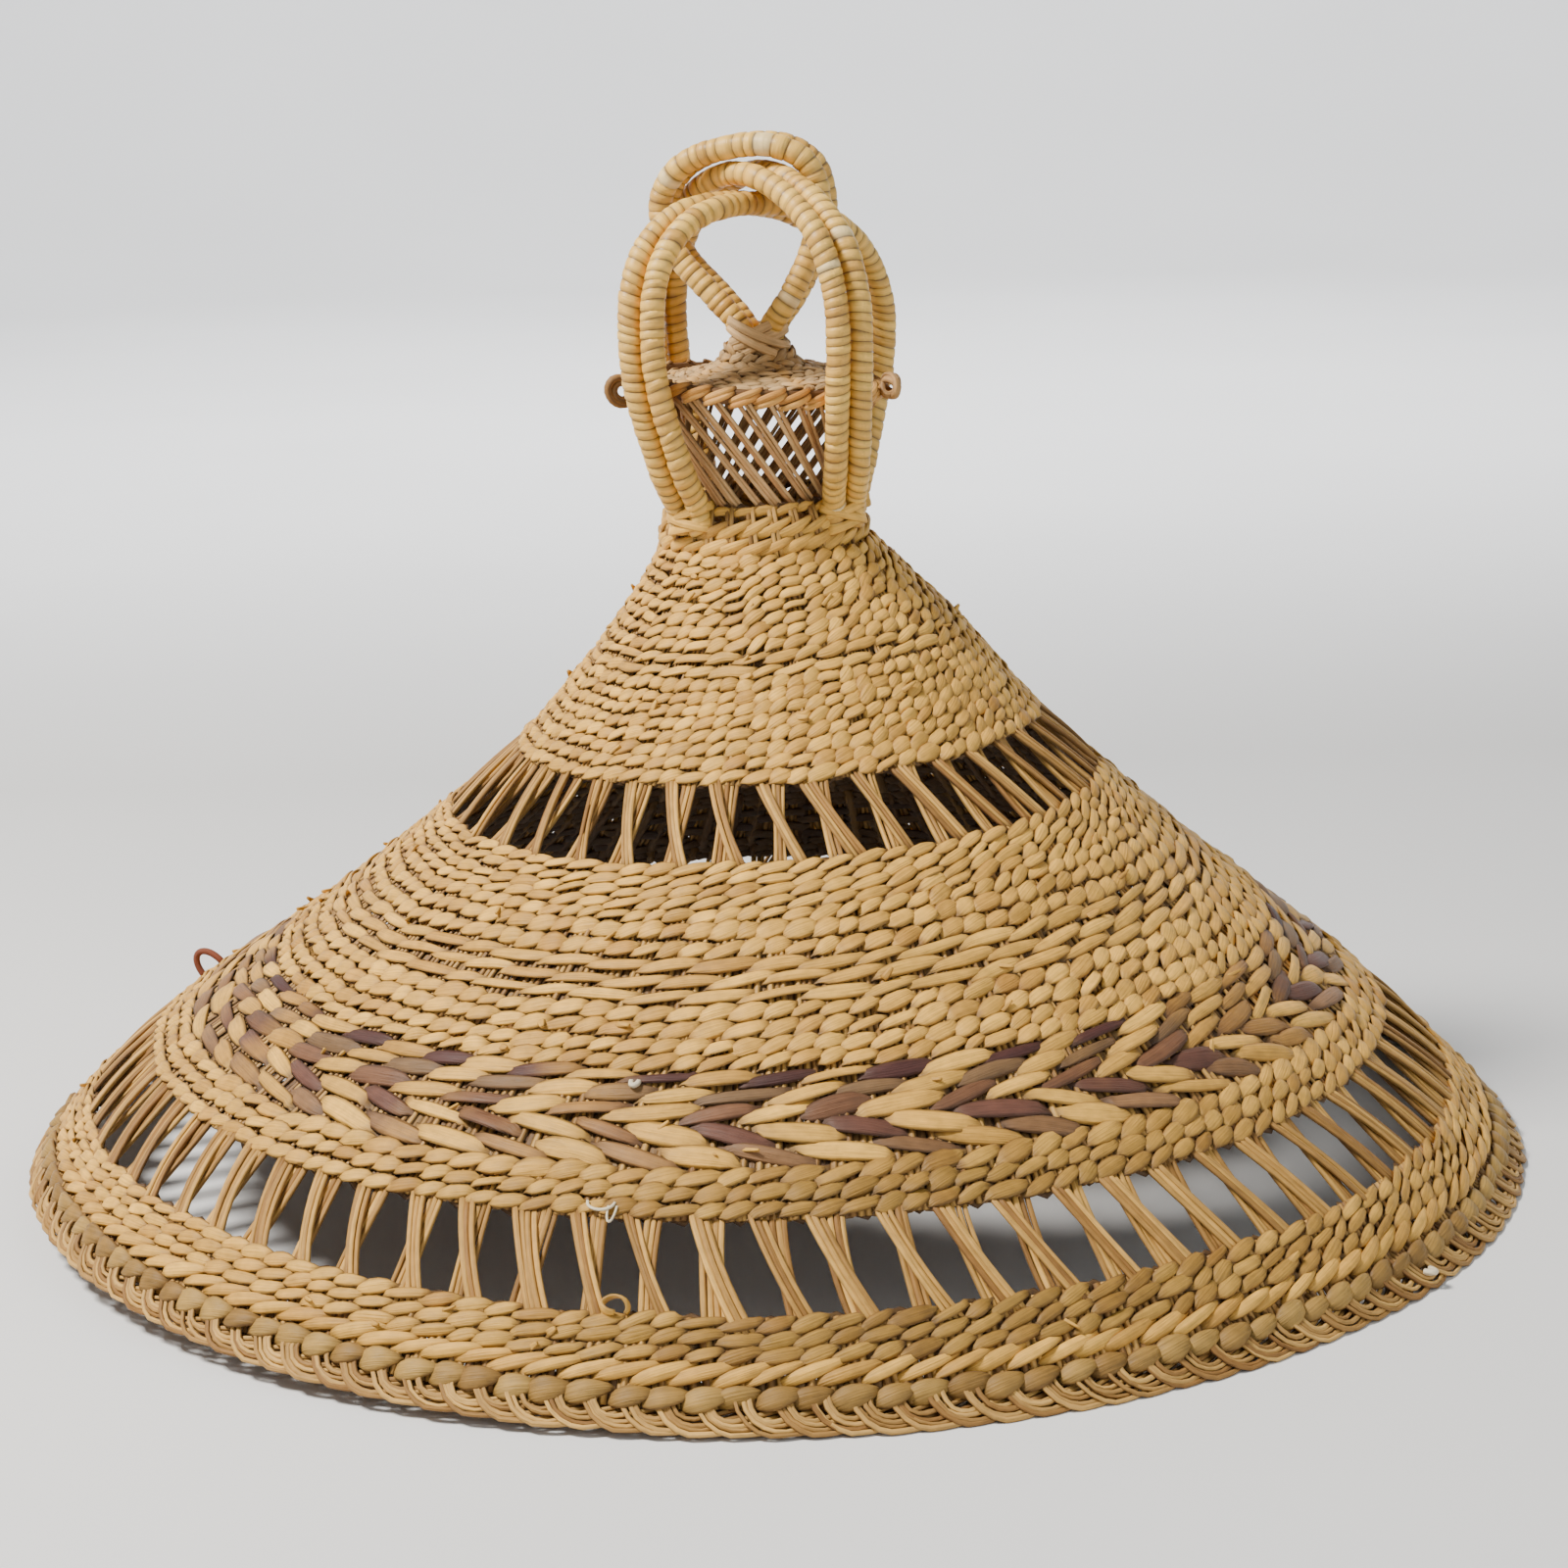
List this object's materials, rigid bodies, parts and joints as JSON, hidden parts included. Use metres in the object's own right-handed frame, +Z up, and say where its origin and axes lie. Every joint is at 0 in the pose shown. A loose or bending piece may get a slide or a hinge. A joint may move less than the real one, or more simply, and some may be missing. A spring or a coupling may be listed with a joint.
{
  "type": "straw hat",
  "caption": "Wide cone-shaped straw hat of twined grass with bands of open crossed stakes, a plaited rim and a tall topknot of looped wrapped rods over a see-through drum.",
  "frame": {"origin": "centre of the rim circle, on the plane that the rim rests on", "axes": "+Z up the hat's axis to the topknot, +Y away from the viewer who sees the front, +X to the viewer's right"},
  "size_m": [0.4008, 0.4008, 0.2714],
  "materials": {
    "woven_straw": "dry twined grass, pale beige with brown creases",
    "ripe_straw": "dry grass stakes and plaits, a deeper tan",
    "wrapped_rod": "rods wrapped closely with pale yellow grass, slightly glossy",
    "brown_cord": "thin reddish-brown cord"
  },
  "bodies": {
    "root": {"rim_border": "ripe_straw", "brim_band": "woven_straw", "lower_window_band": "ripe_straw", "middle_cone": "woven_straw", "upper_window_band": "ripe_straw", "upper_cone": "woven_straw", "neck_band": "woven_straw", "drum_stakes": "ripe_straw", "collar": "ripe_straw", "cap": "woven_straw", "low_hoop_rear": "wrapped_rod", "low_hoop_front": "wrapped_rod", "high_hoop_front": "wrapped_rod", "high_hoop_rear": "wrapped_rod", "top_ring_front": "wrapped_rod", "top_ring_rear": "wrapped_rod", "collar_loop": "ripe_straw", "collar_knot": "ripe_straw", "side_loop": "brown_cord"}
  },
  "joints": []
}
